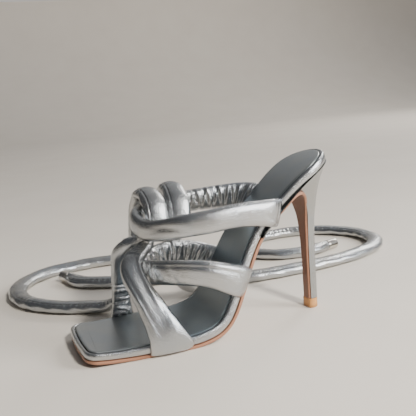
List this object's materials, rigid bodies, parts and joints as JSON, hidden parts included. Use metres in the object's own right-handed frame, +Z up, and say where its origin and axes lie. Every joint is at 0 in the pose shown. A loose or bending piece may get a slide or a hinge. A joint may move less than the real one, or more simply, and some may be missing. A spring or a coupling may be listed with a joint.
{
  "type": "lace_up_heeled_sandal",
  "caption": "Silver lace up sandal on a stiletto heel, with padded crossed straps over the foot and long stuffed ties with metal tips lying loose on the floor",
  "frame": {"origin": "centre of the top lift's underside, on the floor", "axes": "+X runs to the toe, +Y to the outer side of the left foot, +Z up"},
  "size_m": [0.3793, 0.2779, 0.1207],
  "materials": {
    "silver_foil": "metallic foil, fine crackle grain, soft creases",
    "insole_foil": "smooth blue grey metallic",
    "sole_tan": "satin, edge dyed pinkish tan",
    "lift_tan": "dense moulded, satin",
    "tip_metal": "polished nickel"
  },
  "bodies": {
    "root": {"outsole": "sole_tan", "footbed": "silver_foil", "insole": "insole_foil", "heel": "silver_foil", "top_lift": "lift_tan", "upper_straps": "silver_foil", "tie_front": "silver_foil", "tie_back": "silver_foil", "tip_front": "tip_metal", "tip_back": "tip_metal"}
  },
  "joints": []
}
